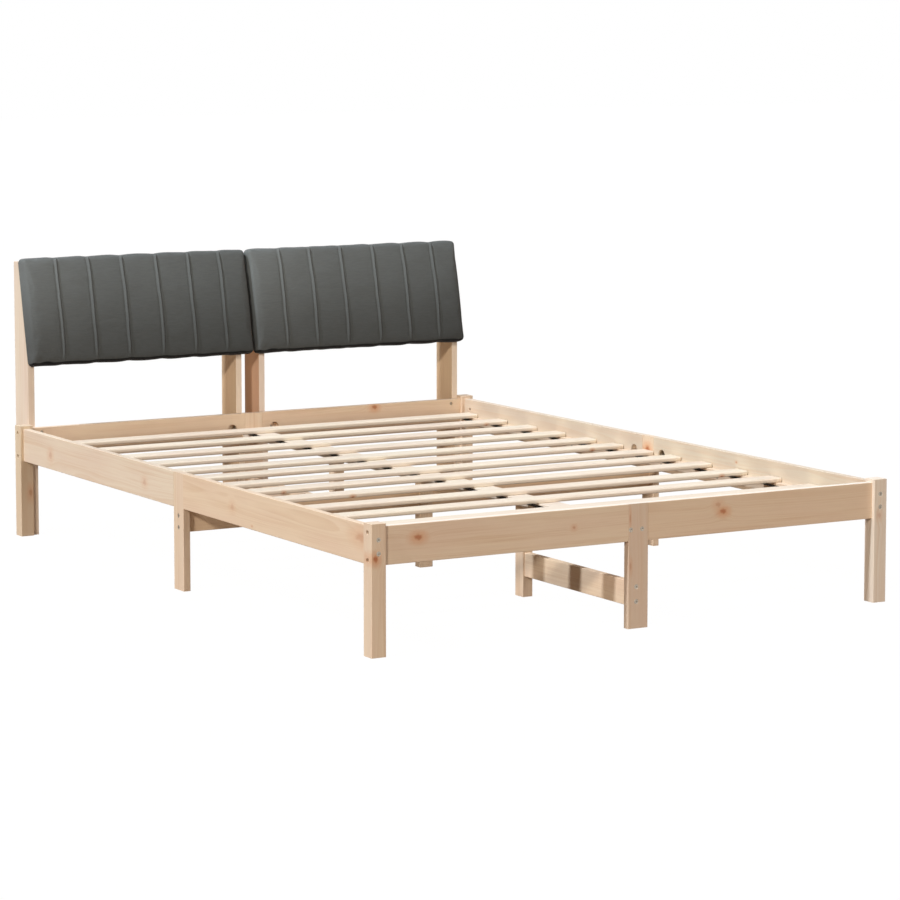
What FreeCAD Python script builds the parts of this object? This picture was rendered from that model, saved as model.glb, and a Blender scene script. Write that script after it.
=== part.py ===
import FreeCAD, Part
import math
import os

# Bed frame with a padded headboard.
# The bed stands on the floor at z = 0, X runs across it, and Y runs from its foot to its head.
# Pieces are laid out about the middle of the frame, halfway between its foot and head legs.
# A side or an end is a sign: -1 for the left side and the foot, 1 for the right side and the head.
# At the end everything shifts in Y, so that the origin lies under the middle of the whole bed.

# Driving sizes, in millimetres

frame_width = 1455.0
frame_length = 2055.0
leg_section = 38.0
leg_height = 308.0
edge_ease = 1.5

# Rails, and the flat legs that join their halves

rail_thickness = 19.0
rail_height = 90.0
rail_drop = 8.0
mid_leg_width = 56.0

# Ledges on the side rails, the slats that lie on them, and the webbing under the slats

ledge_thickness = 19.0
ledge_height = 36.0
ledge_drop = 49.5
ledge_end_gap = 42.0
slat_width = 54.0
slat_thickness = 12.0
slat_edge_radius = 4.5
slat_end_clearance = 3.0
slat_foot_gap = 51.5
slat_head_gap = 36.5
strap_width = 25.0
strap_thickness = 1.5
strap_drift = 9.0
strap_ledge_gap = 21.0
strap_beam_gap = 13.0

# The slats were laid by hand: each one's place off its even pitch, as a share of that pitch
slat_drift_shares = (0, -0.02, 0.08, 0.05, 0.11, 0.06, -0.08, -0.11, -0.21, -0.17, -0.17, -0.10, 0)

# Beams and support legs under the slats

support_line_offset = -5.0
centre_beam_width = 58.0
centre_beam_thickness = 19.0
cross_beam_thickness = 19.0
cross_beam_height = 60.0
cross_beam_drop = 2.0
support_leg_long_side = 38.0
support_leg_short_side = 28.0
stretcher_thickness = 19.0
stretcher_height = 60.0
stretcher_clearance = 52.0
foot_stretcher_length = 474.5
head_stretcher_length = 494.5

# Headboard posts

post_thickness = 18.0
post_depth = 91.0
post_rise = 457.0
post_upright_rise = 167.0
headboard_lean = math.radians(12.2)

# Headboard cushions, each on its own board

cushion_gap = 15.0
cushion_overhang = 2.0
cushion_rise = 3.0
cushion_top_overhang = 4.4
cushion_thickness = 30.0
cushion_crown = 2.0
channel_crown = 1.6
ridge_width = 7.0
ridge_height = 3.2
ridge_count = 6
cushion_shoulder = 11.0
cushion_corner = 9.0
cushion_rim = 12.0
cushion_tuck = 1.5
board_thickness = 9.0
board_wrap = 5.0
soft_gap = 0.3

# The cushion's thickness near its top and bottom: how far into the rim, and how thick it is there
rim_shares = ((0.0, 0.45), (0.12, 0.68), (0.42, 0.90), (1.0, 1.0))
side_bulge_share = 0.45
bottom_ridge_share = 0.15

# Corner bolts and their barrel nuts

side_rail_bolt_spread = 32.0
end_rail_bolt_spread = 64.0
corner_bolt_radius = 3.0
corner_bolt_length = 70.0
corner_bolt_head_radius = 5.5
corner_bolt_head_height = 5.0
end_face_recess = 0.5
side_face_recess = 4.0
socket_width = 5.0
socket_depth = 3.0
barrel_nut_setback = 31.0
barrel_nut_radius = 5.0
barrel_nut_length = 12.0

# Studs, nuts and crescent washers that clamp the middle legs between their rails

stud_radius = 3.0
stud_overrun = 3.0
pocket_radius = 15.0
pocket_setback = 40.0
pocket_depth = 15.0
washer_thickness = 4.0
washer_width = 10.0
nut_width = 10.0
nut_height = 5.0

# Long screws that hold beams and stretchers, with round heads let in flush

beam_screw_radius = 3.0
beam_screw_length = 80.0
beam_screw_head_radius = 5.5
beam_screw_head_height = 4.0
beam_screw_recess = 0.5
beam_screw_spread = 32.0
beam_screw_share = 0.35
cross_screw_shares = (0.20, 0.70)
stretcher_screw_shares = (0.21, 0.81)

# Short countersunk screws in the ledges and the posts

wood_screw_radius = 2.5
wood_screw_length = 35.0
wood_screw_head_radius = 4.75
wood_screw_head_height = 2.8
ledge_screw_shares = (0.06, 0.34, 0.62, 0.90)
post_screw_shares = (0.29, 0.71)

# Dowels on top of the support legs and in the cross beam's inner ends

dowel_radius = 4.0
dowel_length = 28.0

# Bolts that hold the cushions' boards to the posts

cushion_bolt_radius = 2.5
cushion_bolt_length = 45.0
cushion_bolt_head_radius = 4.5
cushion_bolt_head_height = 3.5
cushion_bolt_bite = 8.0
cushion_bolt_shares = (0.26, 0.78)

# Clearances

fit_clearance = 0.2
bore_end_clearance = 1.0
cut_overrun = 1.0

# Directions, and numbers with no unit

X_AXIS = FreeCAD.Vector(1, 0, 0)
Y_AXIS = FreeCAD.Vector(0, 1, 0)
Z_AXIS = FreeCAD.Vector(0, 0, 1)
SIGNS = (-1, 1)
SIDE_NAMES = {-1: "left", 1: "right"}
END_NAMES = {-1: "foot", 1: "head"}
HEXAGON_SIDES = 6
QUARTER_TURN = 90
PARALLEL_TOLERANCE = 1e-6

# Places that follow from the driving sizes

rail_top = leg_height - rail_drop
rail_bottom = rail_top - rail_height
rail_middle = rail_top - rail_height / 2
rail_inset = (leg_section - rail_thickness) / 2
rail_outer_x = frame_width / 2 - rail_inset
rail_inner_x = rail_outer_x - rail_thickness
rail_outer_y = frame_length / 2 - rail_inset
rail_inner_y = rail_outer_y - rail_thickness
rail_middle_x = rail_outer_x - rail_thickness / 2
rail_middle_y = rail_outer_y - rail_thickness / 2
leg_inner_x = frame_width / 2 - leg_section
leg_inner_y = frame_length / 2 - leg_section
mid_leg_half = mid_leg_width / 2
ledge_top = rail_top - ledge_drop
ledge_inner_x = rail_inner_x - ledge_thickness
ledge_end_y = leg_inner_y - ledge_end_gap
support_x = support_line_offset
centre_beam_bottom = ledge_top - centre_beam_thickness
cross_beam_top = rail_bottom - cross_beam_drop
cross_beam_bottom = cross_beam_top - cross_beam_height
stretcher_lengths = {-1: foot_stretcher_length, 1: head_stretcher_length}
post_back_y = rail_outer_y + post_depth
post_height = rail_top + post_rise
post_slant_start = rail_top + post_upright_rise
cushion_bottom = post_slant_start + cushion_rise
cushion_length = (post_height - cushion_bottom) / math.cos(headboard_lean) + cushion_top_overhang
slope_up = Y_AXIS * math.sin(headboard_lean) + Z_AXIS * math.cos(headboard_lean)
slope_out = Z_AXIS * math.sin(headboard_lean) - Y_AXIS * math.cos(headboard_lean)
cushion_width = leg_inner_x + cushion_overhang - cushion_gap / 2
cushion_middle_x = cushion_gap / 2 + cushion_width / 2
whole_bed_middle_y = (post_back_y - frame_length / 2) / 2


def spot(x, y, z):
    """Point from its three coordinates."""
    return FreeCAD.Vector(x, y, z)


def block(x_pair, y_pair, z_pair):
    """Box between two corners, each axis given as a pair in either order."""
    low = [min(pair) for pair in (x_pair, y_pair, z_pair)]
    spans = [max(pair) - min(pair) for pair in (x_pair, y_pair, z_pair)]
    return Part.makeBox(spans[0], spans[1], spans[2], spot(low[0], low[1], low[2]))


def timber(x_pair, y_pair, z_pair, grain, ease=edge_ease):
    """Squared timber whose edges along the grain are rounded."""
    piece = block(x_pair, y_pair, z_pair)
    long_edges = []
    for edge in piece.Edges:
        if edge.Curve.Direction.cross(grain).Length < PARALLEL_TOLERANCE:
            long_edges.append(edge)
    return piece.makeFillet(ease, long_edges)


def middle(pair):
    """Value halfway between two others."""
    return (pair[0] + pair[1]) / 2


# Fasteners: each function gives the fastener, and adds the bores that the timber needs for it

bores = []
fasteners = {
    "corner_bolts": [],
    "barrel_nuts": [],
    "joint_studs": [],
    "joint_nuts": [],
    "joint_washers": [],
    "beam_screws": [],
    "wood_screws": [],
    "dowels": [],
    "cushion_bolts": [],
}


def add_bore(radius, start, along, length):
    """Round hole from start, with room round what goes into it."""
    bores.append(Part.makeCylinder(radius + fit_clearance, length, start, along))


def hexagon_prism(width, height, base, along, level):
    """Six-sided prism on base, width across flats, one flat facing the level direction."""
    radius = width / 2 / math.cos(math.pi / HEXAGON_SIDES)
    across = along.cross(level)
    corners = []
    for number in range(HEXAGON_SIDES):
        angle = math.pi * (2 * number + 1) / HEXAGON_SIDES
        corners.append(base + level * (radius * math.cos(angle)) + across * (radius * math.sin(angle)))
    outline = Part.makePolygon(corners + corners[:1])
    return Part.Face(outline).extrude(along * height)


def headed_bolt(seat, along, level, radius, length, head_radius, head_height):
    """Bolt with a round socket head, whose underside lies at seat, and its shank along a direction."""
    top = seat - along * head_height
    head = Part.makeCylinder(head_radius, head_height, top, along)
    shank = Part.makeCylinder(radius, length, seat, along)
    width = min(socket_width, head_radius)
    depth = min(socket_depth, head_height / 2)
    socket = hexagon_prism(width, depth, top, along, level)
    return head.fuse(shank).removeSplitter().cut(socket)


def add_corner_bolt(face, along, inward, recess):
    """Bolt through a corner leg into a rail's end, and its barrel nut across the rail.

    face is the bolt's place on the leg's outer face, along is its direction, and inward points
    from the rail to the middle of the bed, where the nut's hole opens.
    """
    seat = face + along * (recess + corner_bolt_head_height)
    bolt = headed_bolt(seat, along, Z_AXIS, corner_bolt_radius, corner_bolt_length,
                       corner_bolt_head_radius, corner_bolt_head_height)
    nut_middle = face + along * (leg_section + barrel_nut_setback)
    nut_start = nut_middle - inward * (barrel_nut_length / 2)
    nut = Part.makeCylinder(barrel_nut_radius, barrel_nut_length, nut_start, inward)
    add_bore(corner_bolt_head_radius, face, along, recess + corner_bolt_head_height)
    add_bore(corner_bolt_radius, seat, along, corner_bolt_length + bore_end_clearance)
    nut = nut.cut(bores[-1])
    add_bore(barrel_nut_radius, nut_start, inward, (barrel_nut_length + rail_thickness) / 2)
    fasteners["corner_bolts"].append(bolt)
    fasteners["barrel_nuts"].append(nut)


def add_corner_joints():
    """Two bolts into each rail's end, at the four corners."""
    for side in SIGNS:
        for end in SIGNS:
            for level in SIGNS:
                end_face = spot(side * rail_middle_x, end * frame_length / 2,
                                rail_middle + level * side_rail_bolt_spread / 2)
                add_corner_bolt(end_face, Y_AXIS * -end, X_AXIS * -side, end_face_recess)
                side_face = spot(side * frame_width / 2, end * rail_middle_y,
                                 rail_middle + level * end_rail_bolt_spread / 2)
                add_corner_bolt(side_face, X_AXIS * -side, Y_AXIS * -end, side_face_recess)


def add_middle_joint(place, turn, cover):
    """Stud through a middle leg, with a nut on a crescent washer in each rail's round pocket.

    It is made with the rails along X and the bed's middle towards +Y, then turned about Z and
    moved. cover is the thickness of what lies over the pockets, which are cut through it too.
    """
    def put(shape):
        shape.rotate(spot(0, 0, 0), Z_AXIS, turn)
        shape.translate(place)
        return shape

    near_wall = mid_leg_half + pocket_setback - pocket_radius
    stud_half = near_wall + washer_thickness + nut_height + stud_overrun
    stud_start = X_AXIS * -stud_half
    stud = Part.makeCylinder(stud_radius, 2 * stud_half, stud_start, X_AXIS)
    bore = Part.makeCylinder(stud_radius + fit_clearance, 2 * stud_half, stud_start, X_AXIS)
    for way in SIGNS:
        washer_face = way * (near_wall + washer_thickness)
        pocket_middle = X_AXIS * (way * (mid_leg_half + pocket_setback))
        disc_start = pocket_middle - Y_AXIS * (washer_width / 2)
        disc = Part.makeCylinder(pocket_radius - fit_clearance, washer_width, disc_start, Y_AXIS)
        slab = block((way * near_wall, washer_face), (-washer_width, washer_width),
                     (-pocket_radius, pocket_radius))
        washer = disc.common(slab).cut(bore)
        nut = hexagon_prism(nut_width, nut_height, X_AXIS * washer_face, X_AXIS * way, Y_AXIS).cut(bore)
        floor_of_pocket = pocket_middle - Y_AXIS * (pocket_depth - rail_thickness / 2)
        pocket = Part.makeCylinder(pocket_radius, pocket_depth + cover + cut_overrun, floor_of_pocket, Y_AXIS)
        fasteners["joint_washers"].append(put(washer))
        fasteners["joint_nuts"].append(put(nut))
        bores.append(put(pocket))
    fasteners["joint_studs"].append(put(stud))
    bores.append(put(bore))


def add_middle_joints():
    """One joint at each of the four middle legs."""
    for end in SIGNS:
        add_middle_joint(spot(0, end * rail_middle_y, rail_middle), QUARTER_TURN * (end + 1), 0)
    for side in SIGNS:
        add_middle_joint(spot(side * rail_middle_x, 0, rail_middle), QUARTER_TURN * side, ledge_thickness)


def add_beam_screw(face, along):
    """Long screw from a face, with its round head let in a little under it."""
    seat = face + along * (beam_screw_recess + beam_screw_head_height)
    screw = headed_bolt(seat, along, Z_AXIS, beam_screw_radius, beam_screw_length,
                        beam_screw_head_radius, beam_screw_head_height)
    add_bore(beam_screw_head_radius, face, along, beam_screw_recess + beam_screw_head_height)
    add_bore(beam_screw_radius, seat, along, beam_screw_length + bore_end_clearance)
    fasteners["beam_screws"].append(screw)


def add_beam_screws():
    """Screws of the cross beam, the centre beam and the stretchers."""
    for side in SIGNS:
        for share in cross_screw_shares:
            height = cross_beam_bottom + share * cross_beam_height
            add_beam_screw(spot(side * rail_outer_x, 0, height), X_AXIS * -side)
    for end in SIGNS:
        beam_height = centre_beam_bottom + beam_screw_share * centre_beam_thickness
        for way in SIGNS:
            place = spot(support_x + way * beam_screw_spread / 2, end * rail_outer_y, beam_height)
            add_beam_screw(place, Y_AXIS * -end)
        leg_far_face = rail_inner_y - stretcher_lengths[end] - support_leg_long_side
        for share in stretcher_screw_shares:
            height = stretcher_clearance + share * stretcher_height
            add_beam_screw(spot(support_x, end * rail_outer_y, height), Y_AXIS * -end)
            add_beam_screw(spot(support_x, end * leg_far_face, height), Y_AXIS * end)


def add_wood_screw(face, along):
    """Countersunk screw whose head is flush with the face."""
    cone = Part.makeCone(wood_screw_head_radius, wood_screw_radius, wood_screw_head_height, face, along)
    shank = Part.makeCylinder(wood_screw_radius, wood_screw_length, face, along)
    sink = Part.makeCone(wood_screw_head_radius + fit_clearance, wood_screw_radius + fit_clearance,
                         wood_screw_head_height, face, along)
    fasteners["wood_screws"].append(cone.fuse(shank).removeSplitter())
    add_bore(wood_screw_radius, face, along, wood_screw_length + bore_end_clearance)
    bores.append(sink)


def add_wood_screws():
    """Screws through the ledges into the rails, and through the posts into the legs beside them."""
    ledge_middle = ledge_top - ledge_height / 2
    for side in SIGNS:
        for end in SIGNS:
            for share in ledge_screw_shares:
                place = spot(side * ledge_inner_x, end * (1 - share) * ledge_end_y, ledge_middle)
                add_wood_screw(place, X_AXIS * side)
        outer_post_y = middle((rail_inner_y, frame_length / 2))
        for share in post_screw_shares:
            height = share * rail_bottom
            outer_face = side * (leg_inner_x - post_thickness)
            inner_face = side * (mid_leg_half + post_thickness)
            add_wood_screw(spot(outer_face, outer_post_y, height), X_AXIS * side)
            add_wood_screw(spot(inner_face, rail_middle_y, height), X_AXIS * -side)


def add_dowel(place, along):
    """Dowel that lies half on each side of a joint."""
    start = place - along * (dowel_length / 2)
    room = along * fit_clearance
    fasteners["dowels"].append(Part.makeCylinder(dowel_radius, dowel_length, start, along))
    add_bore(dowel_radius, start - room, along, dowel_length + 2 * fit_clearance)


def add_dowels():
    """Dowels between the beams and the support legs."""
    for end in SIGNS:
        centre_leg_dowel_y = end * support_leg_short_side / 4
        quarter_leg_y = end * (rail_inner_y - stretcher_lengths[end] - support_leg_long_side / 2)
        add_dowel(spot(support_x, centre_leg_dowel_y, centre_beam_bottom), Z_AXIS)
        add_dowel(spot(support_x, quarter_leg_y, centre_beam_bottom), Z_AXIS)
    for side in SIGNS:
        for share in cross_screw_shares:
            height = cross_beam_bottom + share * cross_beam_height
            add_dowel(spot(support_x + side * support_leg_long_side / 2, 0, height), X_AXIS)


def post_front_y(height):
    """Y of a post's front edge at a height on its leaning part."""
    return rail_outer_y + (height - post_slant_start) * math.tan(headboard_lean)


def add_cushion_bolts():
    """Bolts from the back of each post into the board of its cushion, their heads sunk in deep."""
    for side in SIGNS:
        for post_x in (leg_inner_x - post_thickness / 2, mid_leg_half + post_thickness / 2):
            for share in cushion_bolt_shares:
                height = post_slant_start + share * (post_height - post_slant_start)
                tip_y = post_front_y(height) - cushion_bolt_bite
                seat = spot(side * post_x, tip_y + cushion_bolt_length, height)
                along = Y_AXIS * -1
                bolt = headed_bolt(seat, along, Z_AXIS, cushion_bolt_radius, cushion_bolt_length,
                                   cushion_bolt_head_radius, cushion_bolt_head_height)
                mouth_length = post_back_y - seat.y
                mouth = spot(seat.x, post_back_y, height)
                add_bore(cushion_bolt_head_radius, mouth, along, mouth_length)
                add_bore(cushion_bolt_radius, seat, along, cushion_bolt_length)
                fasteners["cushion_bolts"].append(bolt)


def drilled(piece):
    """The piece with every bore that meets it cut out."""
    meeting = [bore for bore in bores if piece.BoundBox.intersect(bore.BoundBox)]
    if meeting:
        piece = piece.cut(meeting)
    return piece


# Timber pieces


def make_corner_leg(side, end):
    """Square leg, rounded along its sides and round its top."""
    leg = timber((side * frame_width / 2, side * leg_inner_x), (end * frame_length / 2, end * leg_inner_y),
                 (0, leg_height), Z_AXIS)
    top_edges = [edge for edge in leg.Edges if edge.BoundBox.ZMin > leg_height - edge_ease / 2]
    return leg.makeFillet(edge_ease / 2, top_edges)


def make_end_mid_leg(end):
    """Flat leg between the halves of the foot rail or the head rail."""
    return timber((-mid_leg_half, mid_leg_half), (end * rail_inner_y, end * rail_outer_y),
                  (0, rail_top), Z_AXIS)


def make_side_mid_leg(side):
    """Flat leg between the halves of a side rail."""
    return timber((side * rail_inner_x, side * rail_outer_x), (-mid_leg_half, mid_leg_half),
                  (0, rail_top), Z_AXIS)


def make_end_rail(end, side):
    """Half of the foot rail or the head rail."""
    return timber((side * mid_leg_half, side * leg_inner_x), (end * rail_inner_y, end * rail_outer_y),
                  (rail_bottom, rail_top), X_AXIS)


def make_side_rail(side, end):
    """Half of a side rail."""
    return timber((side * rail_inner_x, side * rail_outer_x), (end * mid_leg_half, end * leg_inner_y),
                  (rail_bottom, rail_top), Y_AXIS)


def make_ledge(side, end):
    """Batten that carries the slats' ends, from near a corner to the middle of the side."""
    return timber((side * ledge_inner_x, side * rail_inner_x), (0, end * ledge_end_y),
                  (ledge_top - ledge_height, ledge_top), Y_AXIS)


def make_centre_beam(end):
    """Half of the flat beam under the slats' middle."""
    half = centre_beam_width / 2
    return timber((support_x - half, support_x + half), (0, end * rail_inner_y),
                  (centre_beam_bottom, ledge_top), Y_AXIS)


def make_cross_beam(side):
    """Half of the upright beam between the left and right middle legs."""
    half = cross_beam_thickness / 2
    leg_face = support_x + side * support_leg_long_side / 2
    return timber((leg_face, side * rail_inner_x), (-half, half), (cross_beam_bottom, cross_beam_top), X_AXIS)


def make_centre_leg():
    """Support leg where the beams meet."""
    half_x = support_leg_long_side / 2
    half_y = support_leg_short_side / 2
    return timber((support_x - half_x, support_x + half_x), (-half_y, half_y),
                  (0, centre_beam_bottom), Z_AXIS)


def make_quarter_leg(end):
    """Support leg halfway along a half of the centre beam, at the end of its stretcher."""
    half = support_leg_short_side / 2
    near = rail_inner_y - stretcher_lengths[end]
    return timber((support_x - half, support_x + half), (end * near, end * (near - support_leg_long_side)),
                  (0, centre_beam_bottom), Z_AXIS)


def make_stretcher(end):
    """Low board from a middle leg to its quarter leg."""
    half = stretcher_thickness / 2
    near = rail_inner_y - stretcher_lengths[end]
    return timber((support_x - half, support_x + half), (end * rail_inner_y, end * near),
                  (stretcher_clearance, stretcher_clearance + stretcher_height), Y_AXIS)


def make_slat(low_y):
    """Slat from one ledge to the other, its long edges well rounded."""
    half = rail_inner_x - slat_end_clearance
    return timber((-half, half), (low_y, low_y + slat_width), (ledge_top, ledge_top + slat_thickness),
                  X_AXIS, slat_edge_radius)


def slat_places():
    """Y of each slat's foot edge: an even pitch, and the drift of a bed made up by hand."""
    first = -rail_inner_y + slat_foot_gap
    last = rail_inner_y - slat_head_gap - slat_width
    pitch = (last - first) / (len(slat_drift_shares) - 1)
    return [first + (number + share) * pitch for number, share in enumerate(slat_drift_shares)]


def make_strap(middle_x):
    """Flat webbing under all the slats, a little askew."""
    places = slat_places()
    ends = ((places[0], -strap_drift / 2), (places[-1] + slat_width, strap_drift / 2))
    half = strap_width / 2
    under = ledge_top - strap_thickness
    (foot_y, foot_shift), (head_y, head_shift) = ends
    corners = [
        spot(middle_x + foot_shift - half, foot_y, under),
        spot(middle_x + foot_shift + half, foot_y, under),
        spot(middle_x + head_shift + half, head_y, under),
        spot(middle_x + head_shift - half, head_y, under),
    ]
    outline = Part.makePolygon(corners + corners[:1])
    return Part.Face(outline).extrude(Z_AXIS * strap_thickness)


def make_straps():
    """Three straps: one near each side, and one beside the centre beam."""
    side_x = ledge_inner_x - strap_ledge_gap - strap_width / 2
    beside_beam_x = support_x - centre_beam_width / 2 - strap_beam_gap - strap_width / 2
    return Part.makeCompound([make_strap(x) for x in (-side_x, beside_beam_x, side_x)])


def make_post(low_x):
    """Headboard post: a board on edge that steps back round the head rail and leans at the top."""
    corners = [
        spot(low_x, rail_inner_y, 0),
        spot(low_x, rail_inner_y, rail_bottom),
        spot(low_x, rail_outer_y, rail_bottom),
        spot(low_x, rail_outer_y, post_slant_start),
        spot(low_x, post_front_y(post_height), post_height),
        spot(low_x, post_back_y, post_height),
        spot(low_x, post_back_y, 0),
    ]
    outline = Part.makePolygon(corners + corners[:1])
    return Part.Face(outline).extrude(X_AXIS * post_thickness)


# Cushions: places on them are given across, up the slope, and out from the posts


def on_cushion(middle_x, across, up, out):
    """Point of a cushion from its place across, up the slope and out from the posts' front edges."""
    foot_of_slope = spot(middle_x, post_front_y(cushion_bottom), cushion_bottom)
    return foot_of_slope + X_AXIS * across + slope_up * up + slope_out * out


def corner_inset(distance):
    """How far a rounded corner draws the side in, at a distance from the cushion's end."""
    if distance >= cushion_corner:
        return 0
    rest = cushion_corner - distance
    return cushion_corner - math.sqrt(cushion_corner ** 2 - rest ** 2)


def cushion_section(middle_x, up, thickness, ridge):
    """Closed outline across a cushion: flat back, round sides, and crowned channels between ridges."""
    inset = corner_inset(min(up, cushion_length - up))
    half = cushion_width / 2 - inset
    shoulder = half - cushion_shoulder
    pitch = cushion_width / (ridge_count + 1)

    def at(across, out):
        return on_cushion(middle_x, across, up, out)

    def bow(first, top, second):
        return Part.Arc(first, top, second).toShape()

    back_left = at(cushion_tuck - half, soft_gap)
    back_right = at(half - cushion_tuck, soft_gap)
    side_out = side_bulge_share * thickness
    edges = [Part.makeLine(back_left, back_right)]
    edges.append(bow(back_right, at(half, side_out), at(shoulder, thickness)))
    start = shoulder
    for number in range(ridge_count, 0, -1):
        ridge_middle = (number - (ridge_count + 1) / 2) * pitch
        ridge_right = ridge_middle + ridge_width / 2
        ridge_left = ridge_middle - ridge_width / 2
        channel_top = thickness + channel_crown
        edges.append(bow(at(start, thickness), at(middle((start, ridge_right)), channel_top),
                         at(ridge_right, thickness)))
        edges.append(bow(at(ridge_right, thickness), at(ridge_middle, thickness + ridge),
                         at(ridge_left, thickness)))
        start = ridge_left
    edges.append(bow(at(start, thickness), at(middle((start, -shoulder)), thickness + channel_crown),
                     at(-shoulder, thickness)))
    edges.append(bow(at(-shoulder, thickness), at(-half, side_out), back_left))
    return Part.Wire(edges)


def make_cushion(side):
    """Padded cushion, lofted up the slope, with a recess in its back for its board."""
    middle_x = side * cushion_middle_x
    low_ridge = bottom_ridge_share * ridge_height
    sections = []
    for depth_share, thickness_share in rim_shares:
        up = depth_share * cushion_rim
        sections.append(cushion_section(middle_x, up, thickness_share * cushion_thickness, low_ridge))
    full = cushion_thickness + cushion_crown
    nearly_full = middle((cushion_thickness, full))
    sections.append(cushion_section(middle_x, 2 * cushion_rim, nearly_full, ridge_height))
    sections.append(cushion_section(middle_x, cushion_length / 2, full, ridge_height))
    for depth_share, thickness_share in reversed(rim_shares):
        up = cushion_length - depth_share * cushion_rim
        thickness = thickness_share * cushion_thickness
        sections.append(cushion_section(middle_x, up, thickness, thickness_share * ridge_height))
    pad = Part.makeLoft(sections, True, True)
    recess = cushion_panel(middle_x, board_wrap - soft_gap, board_thickness + soft_gap)
    return pad.cut(recess)


def cushion_panel(middle_x, wrap, depth):
    """Flat panel on the posts' front edges, its edges inside the cushion's by the wrap."""
    half = cushion_width / 2 - wrap
    top = cushion_length - wrap
    corners = [
        on_cushion(middle_x, -half, wrap, 0),
        on_cushion(middle_x, half, wrap, 0),
        on_cushion(middle_x, half, top, 0),
        on_cushion(middle_x, -half, top, 0),
    ]
    outline = Part.makePolygon(corners + corners[:1])
    return Part.Face(outline).extrude(slope_out * depth)


def make_parts():
    """Every node's shape by name."""
    parts = {}
    for end in SIGNS:
        end_name = END_NAMES[end]
        parts["mid_leg_" + end_name] = make_end_mid_leg(end)
        parts["centre_beam_" + end_name] = make_centre_beam(end)
        parts["quarter_leg_" + end_name] = make_quarter_leg(end)
        parts["stretcher_" + end_name] = make_stretcher(end)
        for side in SIGNS:
            side_name = SIDE_NAMES[side]
            parts["corner_leg_" + end_name + "_" + side_name] = make_corner_leg(side, end)
            parts[end_name + "_rail_" + side_name] = make_end_rail(end, side)
            parts["side_rail_" + side_name + "_" + end_name] = make_side_rail(side, end)
            parts["ledge_" + side_name + "_" + end_name] = make_ledge(side, end)
    parts["centre_leg"] = make_centre_leg()
    for side in SIGNS:
        side_name = SIDE_NAMES[side]
        parts["mid_leg_" + side_name] = make_side_mid_leg(side)
        parts["cross_beam_" + side_name] = make_cross_beam(side)
        middle_x = side * cushion_middle_x
        parts["cushion_board_" + side_name] = cushion_panel(middle_x, board_wrap, board_thickness)
    post_places = (
        -leg_inner_x,
        -mid_leg_half - post_thickness,
        mid_leg_half,
        leg_inner_x - post_thickness,
    )
    for number, low_x in enumerate(post_places, start=1):
        parts["headboard_post_%d" % number] = make_post(low_x)
    for name in parts:
        parts[name] = drilled(parts[name])
    for number, low_y in enumerate(slat_places(), start=1):
        parts["slat_%02d" % number] = make_slat(low_y)
    parts["straps"] = make_straps()
    for side in SIGNS:
        parts["cushion_" + SIDE_NAMES[side]] = make_cushion(side)
    for name, pieces in fasteners.items():
        parts[name] = Part.makeCompound(pieces)
    return parts


add_corner_joints()
add_middle_joints()
add_beam_screws()
add_wood_screws()
add_dowels()
add_cushion_bolts()

os.makedirs("parts", exist_ok=True)
for name, shape in make_parts().items():
    shape.translate(Y_AXIS * -whole_bed_middle_y)
    shape.exportStep("parts/" + name + ".step")
    print(name, len(shape.Solids), shape.isValid(), round(shape.Volume))
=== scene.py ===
# %% [markdown]
# # A pine bed frame with a padded headboard
#
# The real object is a flat-packed bed: planed pine boards bolted at the corners, thirteen pine
# slats on black webbing, and a headboard of two grey fabric pads on four slanted posts.
#
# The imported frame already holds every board, bolt and nut at the size it was modelled. This lesson
# dresses it: a camera, a white studio, pine that is figured like sawn wood, zinc, webbing, and two
# pads that are swollen by cloth simulation. Everything is in metres, and the bed's foot faces the
# camera.

import math

import bmesh
import bpy
import numpy as np
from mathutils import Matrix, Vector


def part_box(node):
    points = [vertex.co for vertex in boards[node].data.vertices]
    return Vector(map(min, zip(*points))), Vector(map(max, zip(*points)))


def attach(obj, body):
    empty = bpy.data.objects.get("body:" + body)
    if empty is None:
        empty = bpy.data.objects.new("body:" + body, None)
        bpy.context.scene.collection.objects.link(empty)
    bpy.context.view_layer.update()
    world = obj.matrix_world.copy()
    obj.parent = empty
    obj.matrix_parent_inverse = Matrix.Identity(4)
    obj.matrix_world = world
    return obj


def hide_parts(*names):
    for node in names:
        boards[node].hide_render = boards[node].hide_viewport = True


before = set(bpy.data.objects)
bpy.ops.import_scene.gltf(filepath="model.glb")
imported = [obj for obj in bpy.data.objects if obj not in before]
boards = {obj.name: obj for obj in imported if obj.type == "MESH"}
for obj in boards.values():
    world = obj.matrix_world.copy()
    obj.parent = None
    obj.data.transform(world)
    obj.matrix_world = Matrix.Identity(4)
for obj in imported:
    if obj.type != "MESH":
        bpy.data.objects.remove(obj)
LEAN = math.radians(12.2)  # of the headboard, back from upright


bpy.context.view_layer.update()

# %% [markdown]
# ## The camera
#
# A product picture of a bed is taken from a few metres off with a long lens, which keeps the legs
# almost parallel. The camera could be found by eye. Here its place and lens come from a fit to the
# picture's corners, and it looks 6 degrees down, so that the same camera also works from other
# sides.

# %% Set up the camera
scene = bpy.context.scene
scene.view_settings.view_transform = "Standard"

lens = bpy.data.cameras.new("long_lens")
lens.sensor_width = 36.0
lens.lens = 135.978
lens.shift_y = -0.1
lens.clip_end = 200.0
camera = bpy.data.objects.new("camera", lens)
camera.location = (-4.38691, -7.72736, 1.50272)
camera.rotation_euler = [math.radians(angle) for angle in (83.8329, 0.0, -30.1309)]
scene.collection.objects.link(camera)
scene.camera = camera
print("lens:", lens.lens, "mm, camera at", [round(value, 2) for value in camera.location])

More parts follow.
